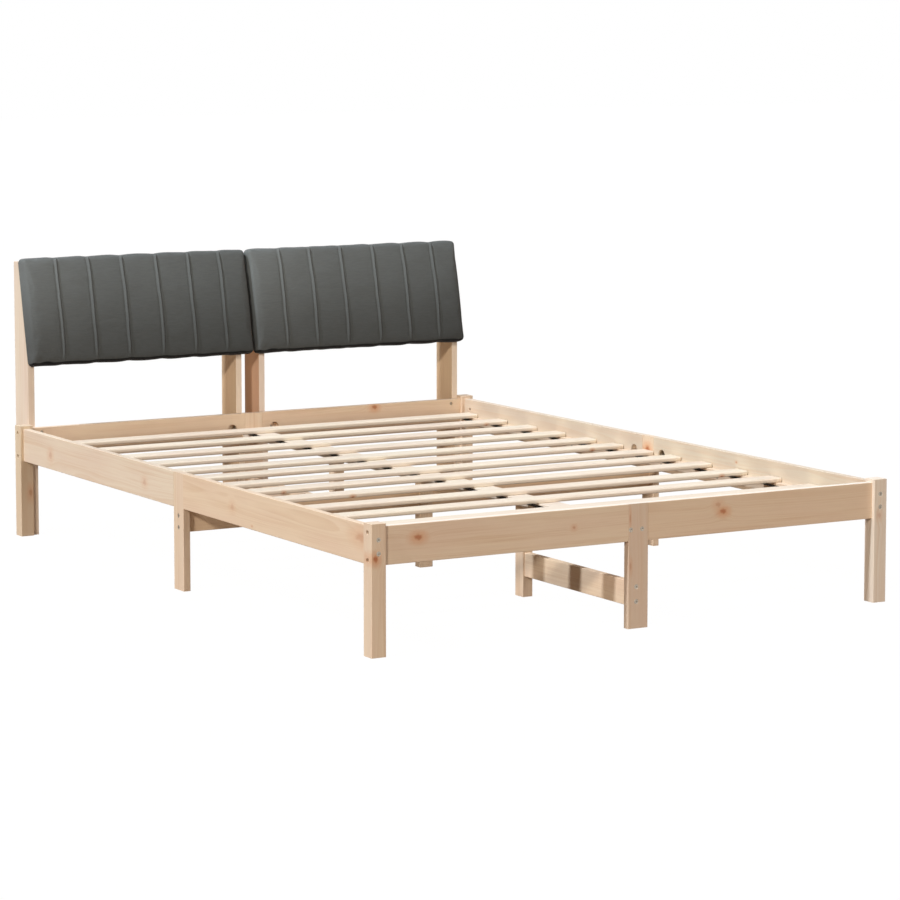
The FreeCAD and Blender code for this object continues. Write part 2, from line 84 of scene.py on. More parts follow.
# %% [markdown]
# ## Helpers for shader nodes
#
# Materials are graphs, and wiring a graph by hand fills pages. Short helpers add a node and feed
# its inputs, either with a plain value or with another node's output, so that each material below
# reads as a list of what it mixes.

# %% Helpers that add and wire nodes


def feed(tree, socket, value):
    """Links value to the socket if it is another socket, and sets it as a plain value if not."""
    if isinstance(value, bpy.types.NodeSocket):
        tree.links.new(value, socket)
    else:
        socket.default_value = value


def node(tree, kind, options=None, **values):
    """A new shader node. Options are its own settings, values go to its inputs by name."""
    made = tree.nodes.new("ShaderNode" + kind)
    for name, value in (options or {}).items():
        setattr(made, name, value)
    for name, value in values.items():
        feed(tree, made.inputs[name.replace("_", " ")], value)
    return made


def maths(tree, operation, *values):
    """The result of one Math node."""
    made = node(tree, "Math", {"operation": operation})
    for socket, value in zip(made.inputs, values):
        feed(tree, socket, value)
    return made.outputs[0]


def vectors(tree, operation, *values):
    """The result of one Vector Math node: a number for a length, and a vector for the rest."""
    made = node(tree, "VectorMath", {"operation": operation})
    for socket, value in zip(made.inputs, values):
        feed(tree, socket, value)
    return made.outputs["Value" if operation in ("LENGTH", "DOT_PRODUCT") else "Vector"]


def rise(tree, value, start, end):
    """0 before start, 1 after end, and a smooth climb between them."""
    made = node(tree, "MapRange", {"interpolation_type": "SMOOTHSTEP"}, Value=value,
                From_Min=start, From_Max=end)
    return made.outputs["Result"]


def mixed(tree, factor, first, second, how="MIX"):
    """A mix of two colours."""
    made = node(tree, "Mix", {"data_type": "RGBA", "blend_type": how})
    for number, value in ((0, factor), (6, first), (7, second)):
        feed(tree, made.inputs[number], value)
    return made.outputs[2]


def effect(name, inputs, outputs):
    """An empty shader node group with named sockets, and its input and output nodes."""
    tree = bpy.data.node_groups.new(name, "ShaderNodeTree")
    for label, kind in inputs:
        tree.interface.new_socket(label, in_out="INPUT", socket_type="NodeSocket" + kind)
    for label, kind in outputs:
        tree.interface.new_socket(label, in_out="OUTPUT", socket_type="NodeSocket" + kind)
    return tree, tree.nodes.new("NodeGroupInput").outputs, tree.nodes.new("NodeGroupOutput").inputs


def placed(tree, group, **values):
    """The outputs of a node group placed in a material, with its inputs fed by name."""
    made = tree.nodes.new("ShaderNodeGroup")
    made.node_tree = group
    for name, value in values.items():
        feed(tree, made.inputs[name.replace("_", " ")], value)
    return made.outputs


def new_material(name):
    """A material with nodes: its tree and its Principled shader."""
    made = bpy.data.materials.new(name)
    made.use_nodes = True
    return made, made.node_tree, made.node_tree.nodes["Principled BSDF"]


print("helpers ready")

# %% [markdown]
# ## Floor and background
#
# The picture stands on pure white, with no edge between floor and wall. One could light a real
# floor until it burns out, but that light would also bleach the wood from below. Instead the floor
# throws little light back, and to the camera it glows white with only a trace of its own shading,
# so a faint shadow stays. The world behind is white to the camera and to reflections too.

# %% Make the floor


def mesh_object(name, points, faces):
    """A mesh object at the origin, from an array of points and a list of faces."""
    mesh = bpy.data.meshes.new(name)
    mesh.from_pydata(points.tolist(), [], faces)
    mesh.validate()
    mesh.update()
    made = bpy.data.objects.new(name, mesh)
    scene.collection.objects.link(made)
    return made


def grid_faces(rows, columns, closed=False):
    """Quads of a grid of points, row after row; closed joins its last column to its first."""
    row, column = np.meshgrid(np.arange(rows - 1), np.arange(columns - (not closed)), indexing="ij")
    here = row * columns + column
    beside = row * columns + (column + 1) % columns
    return np.stack([here, beside, beside + columns, here + columns], -1).reshape(-1, 4)


def camera_or_mirror(tree):
    """1 for rays from the camera and for reflections, 0 for the light that falls on things."""
    path = node(tree, "LightPath").outputs
    seen = maths(tree, "MAXIMUM", path["Is Camera Ray"], path["Is Glossy Ray"])
    return maths(tree, "MAXIMUM", seen, path["Is Transmission Ray"])


half, lines = 30.0, 9
across, along = np.meshgrid(np.linspace(-half, half, lines), np.linspace(-half, half, lines))
ground = np.stack([across, along, 0 * along], -1).reshape(-1, 3)
floor = mesh_object("floor", ground, grid_faces(lines, lines).tolist())
paper, tree, shader = new_material("studio_paper")
shader.inputs["Base Color"].default_value = (0.19, 0.12, 0.07, 1)
shader.inputs["Roughness"].default_value = 0.9
shader.inputs["Specular IOR Level"].default_value = 0.1
glow = node(tree, "Emission", Color=(1, 1, 1, 1), Strength=1.07)
share = maths(tree, "MULTIPLY", camera_or_mirror(tree), 0.93)
blend = node(tree, "MixShader", Fac=share)
tree.links.new(shader.outputs[0], blend.inputs[1])
tree.links.new(glow.outputs[0], blend.inputs[2])
tree.links.new(blend.outputs[0], tree.nodes["Material Output"].inputs["Surface"])
floor.data.materials.append(paper)
print("floor:", 2 * half, "m square")

# %% [markdown]
# ## Light
#
# The slats throw straight bands of shadow down on the low stretcher, so the main light is high, on
# the left, and square to the bed's length. The pads throw a slanted edge of shadow on their posts,
# so a second, warmer light comes low from the side, and a weak one from the front. Sun lamps give
# just that. A wide one stands for the studio's ceiling, a low one from behind lights the sides that
# the picture doesn't show, and the world adds a little warm light to the shade.

# %% Hang the lamps and fill the shade


def sun_lamp(name, toward, strength, spread, colour, glare=True):
    """A sun lamp that shines from the direction toward; spread is its size in degrees."""
    light = bpy.data.lights.new(name, "SUN")
    light.energy, light.angle, light.color = strength, math.radians(spread), colour
    lamp = bpy.data.objects.new(name, light)
    lamp.rotation_euler = Vector(toward).to_track_quat("Z", "Y").to_euler()
    lamp.location = Vector(toward) * 5
    lamp.visible_glossy = glare
    scene.collection.objects.link(lamp)


sun_lamp("key_light", (-0.641, -0.038, 0.766), 2.42, 4.5, (0.975, 1.015, 1.065))
sun_lamp("side_light", (-0.700, -0.580, 0.410), 1.30, 5.0, (1.0, 0.91, 0.81))
sun_lamp("front_light", (0.150, -0.930, 0.330), 0.70, 12.0, (1.0, 0.93, 0.87))
sun_lamp("ceiling_light", (0.0, -0.1, 0.995), 0.30, 40.0, (0.95, 1.0, 1.06))
sun_lamp("back_light", (0.60, 0.75, 0.28), 1.4, 15.0, (1.0, 0.97, 0.93), glare=False)

world = bpy.data.worlds.new("studio")
world.use_nodes = True
scene.world = world
tree = world.node_tree
tree.nodes.clear()
fill = node(tree, "Background", Color=(1.0, 0.60, 0.36, 1), Strength=0.07)
white = node(tree, "Background", Color=(1, 1, 1, 1), Strength=1.0)
blend = node(tree, "MixShader", Fac=camera_or_mirror(tree))
tree.links.new(fill.outputs[0], blend.inputs[1])
tree.links.new(white.outputs[0], blend.inputs[2])
tree.links.new(blend.outputs[0], node(tree, "OutputWorld").inputs["Surface"])
print("lamps:", len(bpy.data.lights), "sky:", fill.inputs["Strength"].default_value)

# %% [markdown]
# ## Pine: growth rings
#
# A board is a slice of a trunk. Its figure comes from the yearly rings: pale early wood that ends
# in a narrow, darker line of late wood. An image could be stretched over each face, but then the
# lines would not meet round an edge. Here the rings fill space, as in the trunk: each point's
# distance from the pith is divided by a ring's width, and what is left after the point says how far
# through the year it is. Slow noise that is stretched along the grain makes the rings wander, which
# draws arcs and flames on a face. No two years are alike, so more noise makes rings wider, narrower
# and fainter, and draws the long, soft streaks of resin that run through a board.

# %% Build the growth effect


def growth_effect():
    """Ring = (distance from the pith + wander + swell) / ring width; late wood ends each ring."""
    tree, given, result = effect(
        "pine growth",
        (("Vector", "Vector"), ("Swell", "Float"), ("Ring Width", "Float"), ("Wander", "Float")),
        (("Late Wood", "Float"), ("Fibre", "Float"), ("Tone", "Float"), ("Streak", "Float")),
    )
    point = given["Vector"]
    slow = vectors(tree, "MULTIPLY", point, (1.0, 1.0, 0.13))
    drift = node(tree, "TexNoise", Vector=slow, Scale=9.0, Detail=2.0, Roughness=0.45)
    drift = maths(tree, "SUBTRACT", drift.outputs["Fac"], 0.5)
    drift = maths(tree, "MULTIPLY", drift, given["Wander"])
    flat = vectors(tree, "MULTIPLY", point, (1.0, 1.0, 0.0))
    radius = maths(tree, "ADD", vectors(tree, "LENGTH", flat), drift)
    radius = maths(tree, "ADD", radius, given["Swell"])
    turn = maths(tree, "DIVIDE", radius, given["Ring Width"])
    seasons = node(tree, "TexNoise", {"noise_dimensions": "1D"}, W=turn, Scale=0.45, Detail=1.0)
    turn = maths(tree, "MULTIPLY_ADD", seasons.outputs["Fac"], 3.4, turn)
    year = maths(tree, "FRACT", turn)
    late = maths(tree, "MULTIPLY", rise(tree, year, 0.12, 0.86), rise(tree, year, 1.0, 0.86))
    strength = node(tree, "TexWhiteNoise", {"noise_dimensions": "1D"}, W=maths(tree, "FLOOR", turn))
    strength = maths(tree, "MULTIPLY_ADD", strength.outputs["Value"], 0.85, 0.15)
    patchy = node(tree, "TexNoise", Vector=slow, Scale=26.0, Detail=2.0).outputs["Fac"]
    strength = maths(tree, "MULTIPLY", strength, rise(tree, patchy, 0.28, 0.62))
    feed(tree, result["Late Wood"], maths(tree, "MULTIPLY", late, strength))
    long = vectors(tree, "MULTIPLY", point, (1.0, 1.0, 0.035))
    streak = node(tree, "TexNoise", Vector=long, Scale=75.0, Detail=3.0, Roughness=0.6)
    feed(tree, result["Streak"], rise(tree, streak.outputs["Fac"], 0.50, 0.78))
    threads = vectors(tree, "MULTIPLY", point, (1.0, 1.0, 0.02))
    fibre = node(tree, "TexNoise", Vector=threads, Scale=900.0, Detail=3.0, Roughness=0.6)
    feed(tree, result["Fibre"], fibre.outputs["Fac"])
    broad = vectors(tree, "MULTIPLY", point, (1.0, 1.0, 0.22))
    tone = node(tree, "TexNoise", Vector=broad, Scale=14.0, Detail=2.0, Roughness=0.5)
    feed(tree, result["Tone"], rise(tree, tone.outputs["Fac"], 0.25, 0.75))
    return tree


pine_growth = growth_effect()
print("effect:", pine_growth.name)

# %% [markdown]
# ## Pine: knots
#
# Where a branch left the trunk, the board has a knot: a small red-brown heart, an orange halo, and
# rings that swell round both. Knots could be scattered at random, but this bed's are part of how it
# looks, so each one is placed. The effect measures how far a point is from the knot's middle, in
# knot sizes, with a little noise so that no knot is a perfect oval.

# %% Build the knot effect


def knot_effect():
    """Distance in knot sizes = length of ((point - middle) / size), roughened by noise."""
    tree, given, result = effect(
        "pine knot",
        (("Vector", "Vector"), ("Middle", "Vector"), ("Size", "Vector"), ("Depth", "Float")),
        (("Heart", "Float"), ("Halo", "Float"), ("Swell", "Float")),
    )
    apart = vectors(tree, "SUBTRACT", given["Vector"], given["Middle"])
    apart = vectors(tree, "DIVIDE", apart, given["Size"])
    rough = node(tree, "TexNoise", Vector=apart, Scale=1.6, Detail=3.0).outputs["Fac"]
    rough = maths(tree, "MULTIPLY_ADD", rough, 0.9, -0.45)
    far = maths(tree, "ADD", vectors(tree, "LENGTH", apart), rough)
    heart = maths(tree, "MULTIPLY", rise(tree, far, 0.95, 0.30), given["Depth"])
    halo = maths(tree, "MULTIPLY", rise(tree, far, 2.6, 0.6), given["Depth"])
    near = rise(tree, far, 5.0, 0.4)
    feed(tree, result["Heart"], heart)
    feed(tree, result["Halo"], halo)
    feed(tree, result["Swell"], maths(tree, "MULTIPLY", near, near))
    return tree


pine_knot = knot_effect()
print("effect:", pine_knot.name)

# %% [markdown]
# ## Pine: the material
#
# Every board gets its own cut. The material turns the board so that its grain lies along the ring
# pattern's axis, moves the pith to one side of it, and mixes its colours: cream early wood, amber
# late wood, a rosier tone in broad patches, and the knots. The late wood stands a hair proud of the
# planed face, which the bump shows. Faces that look up, and the posts' front edges, get painted
# light: their colour is mixed towards a pale cream, so they look lit. The wood is bare, so it is
# rough and has no coat.

# %% Define the pine
TO_GRAIN = {"x": (0.0, -math.pi / 2, 0.0), "y": (math.pi / 2, 0.0, 0.0), "z": (0.0, 0.0, 0.0)}
LATE = (0.640, 0.435, 0.265, 1)
AMBER = (0.680, 0.360, 0.190, 1)
HEART = (0.400, 0.110, 0.035, 1)
PAINTED_LIGHT_CREAM = (0.970, 0.930, 0.860, 1)


def turned(place, along):
    """A point in the board's grain frame, whose z runs along the board."""
    x, y, z = place
    return np.array({"x": (-z, y, x), "y": (x, -z, y), "z": (x, y, z)}[along])


def pine(name, along, middle, seed, early, knots=(), late_share=0.42, ring_width=0.0060,
         painted_light_share=0.0, painted_light_side=("Z", 1.0)):
    """Bare planed pine, its grain along one axis, cut from its own place in the trunk."""
    chance = np.random.default_rng(seed)
    angle = chance.uniform(0, 2 * math.pi)
    away = chance.uniform(0.035, 0.085)
    pith = np.array([away * math.cos(angle), away * math.sin(angle), chance.uniform(-8, 8)])
    made, tree, shader = new_material(name)
    place = node(tree, "TexCoord").outputs["Object"]
    tilt = [a + b for a, b in zip(TO_GRAIN[along], chance.uniform(-0.006, 0.006, 3))]
    cut = node(tree, "Mapping", Vector=place, Location=tuple(pith - turned(middle, along)),
               Rotation=tuple(tilt)).outputs["Vector"]
    heart = halo = swell = 0.0
    for spot, size, depth in knots:
        knot = placed(tree, pine_knot, Vector=place, Middle=spot, Size=size, Depth=depth)
        heart = maths(tree, "MAXIMUM", heart, knot["Heart"])
        halo = maths(tree, "MAXIMUM", halo, knot["Halo"])
        swell = maths(tree, "MULTIPLY_ADD", knot["Swell"], 0.011 * depth, swell)
    growth = placed(tree, pine_growth, Vector=cut, Swell=swell, Ring_Width=ring_width, Wander=0.040)
    facing = node(tree, "SeparateXYZ", Vector=node(tree, "NewGeometry").outputs["Normal"]).outputs
    # Painted light: faces that look up, or forward for the posts, are mixed towards pale cream as if
    # lit.
    axis, sign = painted_light_side
    painted_light_mask = rise(tree, maths(tree, "MULTIPLY", facing[axis], sign), 0.80, 0.98)
    painted_light_mask = maths(tree, "MULTIPLY", painted_light_mask, painted_light_share)
    rosy = tuple(value * tint for value, tint in zip(early, (0.955, 0.905, 0.915, 1)))
    colour = mixed(tree, growth["Tone"], early, rosy)
    colour = mixed(tree, maths(tree, "MULTIPLY", growth["Late Wood"], late_share), colour, LATE)
    colour = mixed(tree, maths(tree, "MULTIPLY", growth["Streak"], late_share * 0.9), colour, LATE)
    colour = mixed(tree, painted_light_mask, colour, PAINTED_LIGHT_CREAM)
    thread = maths(tree, "MULTIPLY_ADD", growth["Fibre"], 0.14, 0.93)
    colour = mixed(tree, 1.0, colour, node(tree, "CombineColor", Red=thread, Green=thread,
                                          Blue=thread).outputs[0], "MULTIPLY")
    if knots:
        colour = mixed(tree, maths(tree, "MULTIPLY", halo, 0.75), colour, AMBER)
        colour = mixed(tree, maths(tree, "MULTIPLY", heart, 0.8), colour, HEART)
    feed(tree, shader.inputs["Base Color"], colour)
    rough = maths(tree, "MULTIPLY_ADD", growth["Late Wood"], -0.12, 0.66)
    feed(tree, shader.inputs["Roughness"], rough)
    shader.inputs["Specular IOR Level"].default_value = 0.35
    height = maths(tree, "MULTIPLY_ADD", growth["Fibre"], 0.5, growth["Late Wood"])
    relief = node(tree, "Bump", Strength=0.35, Distance=0.0003, Height=height)
    feed(tree, shader.inputs["Normal"], relief.outputs["Normal"])
    return made


print("pine grain axes:", sorted(TO_GRAIN))

# %% [markdown]
# ## Pine: which board is which
#
# The grain always runs along a board's length: up the legs and posts, across the slats and end
# rails, and lengthwise in the side rails, ledges and beams. The knots are given as a middle, a size
# in three directions and a depth of colour. A knot goes through its board, so its size is largest
# across the board's thickness. The boards come from several trees, and the slats are the palest,
# with the faintest rings. Three of the four posts are redder and darker: that colour paints the
# shade on their broad sides, while painted light makes their front edges pale.

# %% Place the knots
THROUGH = 0.03
KNOTS = {
    "corner_leg_foot_left": [((-0.7165, -1.068, 0.227), (0.0085, THROUGH, 0.011), 1.0)],
    "corner_leg_foot_right": [((0.7056, -1.068, 0.218), (0.007, THROUGH, 0.010), 0.3)],
    "corner_leg_head_left": [((-0.6985, 0.949, 0.121), (0.0075, THROUGH, 0.016), 0.5)],
    "foot_rail_left": [((-0.6000, -1.059, 0.267), (0.015, THROUGH, 0.0095), 0.85),
                       ((-0.1801, -1.059, 0.256), (0.006, THROUGH, 0.005), 0.5)],
    "foot_rail_right": [((0.2435, -1.059, 0.262), (0.013, THROUGH, 0.009), 0.9),
                        ((0.2290, -1.059, 0.279), (0.011, THROUGH, 0.009), 0.40)],
    "mid_leg_foot": [((-0.0232, -1.059, 0.265), (0.0025, THROUGH, 0.018), 0.5),
                     ((-0.0217, -1.059, 0.150), (0.004, THROUGH, 0.014), 0.4)],
    "mid_leg_right": [((0.699, -0.038, 0.263), (THROUGH, 0.015, 0.012), 1.0)],
    "head_rail_right": [((0.3981, 0.958, 0.292), (0.012, THROUGH, 0.009), 0.9)],
    "side_rail_left_head": [((-0.718, 0.764, 0.249), (THROUGH, 0.014, 0.013), 0.35),
                            ((-0.718, 0.160, 0.250), (THROUGH, 0.013, 0.011), 0.30)],
    "side_rail_left_foot": [((-0.718, -0.345, 0.252), (THROUGH, 0.012, 0.011), 0.25),
                            ((-0.718, -0.451, 0.219), (THROUGH, 0.004, 0.0025), 0.5),
                            ((-0.718, -1.000, 0.268), (THROUGH, 0.034, 0.015), 0.40)],
    "side_rail_right_foot": [((0.699, -0.461, 0.278), (THROUGH, 0.004, 0.0025), 0.6)],
    "slat_04": [((0.615, -0.517, 0.2515), (0.006, 0.006, 0.005), 0.9)],
    "slat_05": [((-0.386, -0.353, 0.2515), (0.006, 0.006, 0.005), 0.9)],
    "slat_06": [((-0.504, -0.206, 0.2515), (0.005, 0.006, 0.005), 0.8)],
    "slat_08": [((0.595, 0.077, 0.2515), (0.006, 0.006, 0.005), 0.9)],
    "slat_12": [((0.626, 0.698, 0.2515), (0.006, 0.006, 0.005), 0.8)],
}
print("knots placed:", sum(len(group) for group in KNOTS.values()))

# %% Dress the pine boards
# Rows: start of a board's name, early-wood colour, late-wood share, and the share of painted light
# mixed onto faces that look up (front edges, for posts).
SHADES = (("slat_", (0.880, 0.820, 0.695, 1), 0.22, 0.0),
          ("headboard_post_1", (0.860, 0.760, 0.630, 1), 0.30, 0.0),
          # Posts 2 to 4: a redder, darker colour paints the shade on their broad sides.
          ("headboard_post_3", (0.750, 0.530, 0.370, 1), 0.38, 0.55),
          ("headboard_post", (0.810, 0.615, 0.405, 1), 0.38, 0.46),
          ("head_rail", (0.810, 0.655, 0.485, 1), 0.40, 0.3),
          ("side_rail_left_head", (0.808, 0.697, 0.552, 1), 0.42, 0.2),
          ("side_rail_left_foot", (0.806, 0.645, 0.473, 1), 0.44, 0.2),
          ("side_rail_right", (0.710, 0.632, 0.506, 1), 0.40, 0.2),
          ("corner_leg_head_left", (0.760, 0.640, 0.470, 1), 0.42, 0.2),
          ("corner_leg_foot_right", (0.835, 0.760, 0.645, 1), 0.34, 0.3),
          ("foot_rail_right", (0.785, 0.632, 0.468, 1), 0.46, 0.9),
          ("foot_rail_left", (0.815, 0.675, 0.510, 1), 0.46, 0.9),
          ("mid_leg_foot", (0.750, 0.630, 0.490, 1), 0.44, 0.8),
          ("cross_beam", (0.840, 0.650, 0.450, 1), 0.40, 0.3),
          ("centre_beam", (0.860, 0.790, 0.670, 1), 0.28, 0.2),
          ("stretcher", (0.840, 0.680, 0.505, 1), 0.40, 0.0),
          ("", (0.815, 0.675, 0.510, 1), 0.44, 0.2))
GRAIN = (("slat_", "x"), ("foot_rail", "x"), ("head_rail", "x"), ("cross_beam", "x"),
         ("side_rail", "y"), ("ledge", "y"), ("centre_beam", "y"), ("stretcher", "y"),
         ("corner_leg", "z"), ("mid_leg", "z"), ("centre_leg", "z"), ("quarter_leg", "z"),
         ("headboard_post", "z"))


def grain_of(name):
    """The axis that a board's grain runs along, or None for what isn't a pine board."""
    return next((axis for start, axis in GRAIN if name.startswith(start)), None)


def dress(name, material):
    """Gives a piece of the frame its material, and leaves its mesh as it is."""
    piece = boards[name]
    if not piece.material_slots:
        piece.data.materials.append(material)
    for slot in piece.material_slots:
        slot.material = material


pine_boards = [name for name in sorted(boards) if grain_of(name)]
for number, name in enumerate(pine_boards):
    low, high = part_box(name)
    early, share, painted_light_share = next(shade[1:] for shade in SHADES if name.startswith(shade[0]))
    dress(name, pine("pine_" + name, grain_of(name), (low + high) / 2, 100 + number, early,
                     KNOTS.get(name, ()), share, painted_light_share=painted_light_share,
                     painted_light_side=("Y", -1.0) if "post" in name else ("Z", 1.0)))
print("pine boards dressed:", len(pine_boards))

# %% [markdown]
# ## Metal, dowels and plywood
#
# The bolts and nuts are plated with zinc that has dulled a little: a metal with a soft shine that is
# slightly clouded by the plating bath. Its colour is kept darker and warmer than fresh zinc, which
# partly paints the shade of the holes round the heads. The dowels are turned from a browner wood
# with narrow rings. The panel in each pad's back is plywood, thin sheets whose grain turns at each
# glue line, so its edge shows stripes.

# %% Dress the metal, the dowels and the plywood


def zinc():
    """Plated steel: clouds of noise change its colour and roughness a little."""
    made, tree, shader = new_material("zinc_plate")
    place = node(tree, "TexCoord").outputs["Object"]
    cloud = node(tree, "TexNoise", Vector=place, Scale=260.0, Detail=3.0).outputs["Fac"]
    # Partly painted shade: the zinc is darker and warmer, as the shade round a head in its hole.
    tone = mixed(tree, cloud, (0.28, 0.245, 0.20, 1), (0.50, 0.445, 0.37, 1))
    feed(tree, shader.inputs["Base Color"], tone)
    feed(tree, shader.inputs["Roughness"], maths(tree, "MULTIPLY_ADD", cloud, 0.2, 0.22))
    shader.inputs["Metallic"].default_value = 1.0
    return made


def plywood():
    """Stripes 1.5 mm wide for the sheets, at a slant of twice the lean to the panel's faces."""
    made, tree, shader = new_material("birch_plywood")
    place = node(tree, "TexCoord").outputs["Object"]
    level = node(tree, "Mapping", Vector=place, Rotation=(-LEAN, 0.0, 0.0))
    growth = placed(tree, pine_growth, Vector=level.outputs["Vector"], Swell=0.0,
                    Ring_Width=0.011, Wander=0.05)
    sheets = node(tree, "TexWave", {"bands_direction": "Y"}, Vector=level.outputs["Vector"],
                  Scale=105.0).outputs["Fac"]
    face = mixed(tree, maths(tree, "MULTIPLY", growth["Late Wood"], 0.35), (0.66, 0.50, 0.33, 1),
                 (0.50, 0.34, 0.20, 1))
    feed(tree, shader.inputs["Base Color"],
         mixed(tree, maths(tree, "MULTIPLY", sheets, 0.35), face, (0.40, 0.27, 0.16, 1)))
    feed(tree, shader.inputs["Roughness"], maths(tree, "MULTIPLY_ADD", growth["Fibre"], 0.2, 0.5))
    relief = node(tree, "Bump", Strength=0.3, Distance=0.0003, Height=growth["Fibre"])
    feed(tree, shader.inputs["Normal"], relief.outputs["Normal"])
    return made


METAL = ("corner_bolts", "barrel_nuts", "joint_studs", "joint_nuts", "joint_washers", "beam_screws",
         "wood_screws", "cushion_bolts")
zinc_plate = zinc()
for name in METAL:
    dress(name, zinc_plate)
dress("dowels", pine("beech_dowel", "x", (0.0, 0.0, 0.2), 7, (0.74, 0.58, 0.42, 1),
                     late_share=0.25, ring_width=0.0015))
panel = plywood()
for name in ("cushion_board_left", "cushion_board_right"):
    dress(name, panel)
print("metal groups:", len(METAL), "and 1 group of dowels, 2 panels")

# %% [markdown]
# ## Webbing under the slats
#
# Three black straps are stapled under the slats and keep them spaced when the bed is unrolled. A
# strap could be one flat box, but real webbing sags a little in each gap and has rounded selvedges.
# So each is a small rounded outline, carried along a path that touches every slat and dips between.

# %% Weave the straps
SLATS = [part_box("slat_%02d" % number) for number in range(1, 14)]
strap_low, strap_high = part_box("straps")
STRAP_WIDE, STRAP_THICK, STRAP_SAG = 0.020, 0.0014, 0.0012
STRAP_DRIFT, STRAP_CLEAR = 0.0045, 0.0001
MIDDLE_STRAP_X, RIGHT_STRAP_SHIFT = -0.0530, 0.0030


def strap_path(middle_x):
    """Level under each slat, and lower in a gap by sag x 4 x share x (1 - share)."""
    places = []
    for number, (low, high) in enumerate(SLATS):
        under = np.linspace(low.y, high.y, 5)
        places.append(np.stack([under, 0 * under], -1))
        if number + 1 < len(SLATS):
            share = np.linspace(0, 1, 14)[1:-1]
            gap = high.y + share * (SLATS[number + 1][0].y - high.y)
            places.append(np.stack([gap, STRAP_SAG * 4 * share * (1 - share)], -1))
    y, sag = np.concatenate(places).T
    x = middle_x + STRAP_DRIFT * np.interp(y, (y[0], y[-1]), (-1, 1))
    return np.stack([x, y, SLATS[0][0].z - STRAP_THICK / 2 - STRAP_CLEAR - sag], -1)


def webbing_strap(middle_x):
    """Points and faces of a strap: a flat outline with round selvedges, carried along its path."""
    turn = np.linspace(0, 2 * math.pi, 20, endpoint=False)
    wide = STRAP_WIDE / 2 * np.sign(np.cos(turn)) * np.abs(np.cos(turn)) ** 0.25
    thick = STRAP_THICK / 2 * np.sign(np.sin(turn)) * np.abs(np.sin(turn)) ** 0.6
    path = strap_path(middle_x)
    outline = np.stack([wide, 0 * wide, thick], -1)
    points = (path[:, None] + outline[None]).reshape(-1, 3)
    faces = grid_faces(len(path), len(turn), closed=True)
    return points, faces, len(path), len(turn)


def make_straps():
    """All three straps in one mesh, their ends closed by a face each."""
    side = (strap_high.x - strap_low.x) / 2 - STRAP_WIDE / 2 - STRAP_DRIFT
    points, faces, ends = [], [], []
    for middle_x in (-side, MIDDLE_STRAP_X, side + RIGHT_STRAP_SHIFT):
        start = sum(len(group) for group in points)
        these, quads, rows, columns = webbing_strap(middle_x)
        points.append(these)
        faces += (quads + start).tolist()
        ring = np.arange(columns) + start
        ends += [ring[::-1].tolist(), (ring + (rows - 1) * columns).tolist()]
    return mesh_object("webbing_straps", np.concatenate(points), faces + ends)


straps = make_straps()
print("strap points:", len(straps.data.vertices), "from", strap_low[:], "to", strap_high[:])

# %% [markdown]
# ## A finishing step for new meshes
#
# A mesh that is made from arrays may have faces that look inwards. This step turns them out, shades
# the mesh smooth, hangs it on the frame's one body, and says which solid it stands for and which
# finish it takes.

# %% Define the finishing step


def finish_piece(piece, material, stands_for):
    """Turns faces outwards, shades smooth, and ties the piece to the frame."""
    made = bmesh.new()
    made.from_mesh(piece.data)
    bmesh.ops.recalc_face_normals(made, faces=made.faces)
    made.to_mesh(piece.data)
    made.free()
    piece.data.shade_smooth()
    piece.data.materials.clear()
    piece.data.materials.append(material)
    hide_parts(stands_for)
    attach(piece, "root")
    print(piece.name, "has", len(piece.data.polygons), "faces and stands for", stands_for)


def webbing():
    """Black woven tape: ribs across it, and a fine diagonal between them."""
    made, tree, shader = new_material("black_webbing")
    place = node(tree, "TexCoord").outputs["Object"]
    ribs = node(tree, "TexWave", {"bands_direction": "Y"}, Vector=place, Scale=150.0,
                Distortion=0.6, Detail=1.0).outputs["Fac"]
    warp = node(tree, "TexWave", {"bands_direction": "X"}, Vector=place, Scale=240.0).outputs["Fac"]
    weave = maths(tree, "MULTIPLY", ribs, warp)
    feed(tree, shader.inputs["Base Color"],
         mixed(tree, weave, (0.005, 0.003, 0.002, 1), (0.016, 0.010, 0.007, 1)))
    feed(tree, shader.inputs["Roughness"], maths(tree, "MULTIPLY_ADD", weave, -0.15, 0.9))
    shader.inputs["Specular IOR Level"].default_value = 0.04
    relief = node(tree, "Bump", Strength=0.6, Distance=0.0004, Height=weave)
    feed(tree, shader.inputs["Normal"], relief.outputs["Normal"])
    return made


finish_piece(straps, webbing(), "straps")

# %% [markdown]
# ## The pads: a closed form to fill
#
# Each pad is foam glued to a plywood panel, with fabric pulled over it and stapled at the back. Its
# front is divided by six raised seams. A box with rounded edges would look like plastic. A cloth
# simulation that is blown up a little gives the fullness of real fabric, because it is held at the
# seams and at the staples and swells everywhere else. It starts from a pad slightly too small.
# In the picture both pads hang a little to the right on their posts, and so do their seams.

# %% Shape the start of a pad
PAD_WIDE, PAD_LONG, PAD_THICK = 0.6958, 0.3045, 0.0350
PAD_X, PAD_FOOT_Y, PAD_FOOT_Z = 0.35015, 0.97735, 0.4673
PAD_DRIFT = 0.00575
SEAM_PITCH = PAD_WIDE / 7
SEAM_DRIFT = np.array([0.0015, 0.0017, 0.0042, 0.0110, 0.0118, 0.0108])
SEAMS = (np.arange(6) - 2.5) * SEAM_PITCH + SEAM_DRIFT
SMALLER, CORNER, RIM_ROLL, BACK_LIFT = 0.0025, 0.0095, 0.0065, 0.0006


def outline_of(width, length, radius):
    """Oblong with round corners: corner middle + radius x (cosine, sine), a quarter turn each."""
    turn = np.linspace(0, math.pi / 2, 13)
    corners = []
    for number, (east, north) in enumerate(((1, 1), (-1, 1), (-1, -1), (1, -1))):
        angle = turn + number * math.pi / 2
        middle = np.array([east * (width / 2 - radius), north * (length / 2 - radius)])
        corners.append(middle + radius * np.stack([np.cos(angle), np.sin(angle)], -1))
    return np.concatenate(corners)


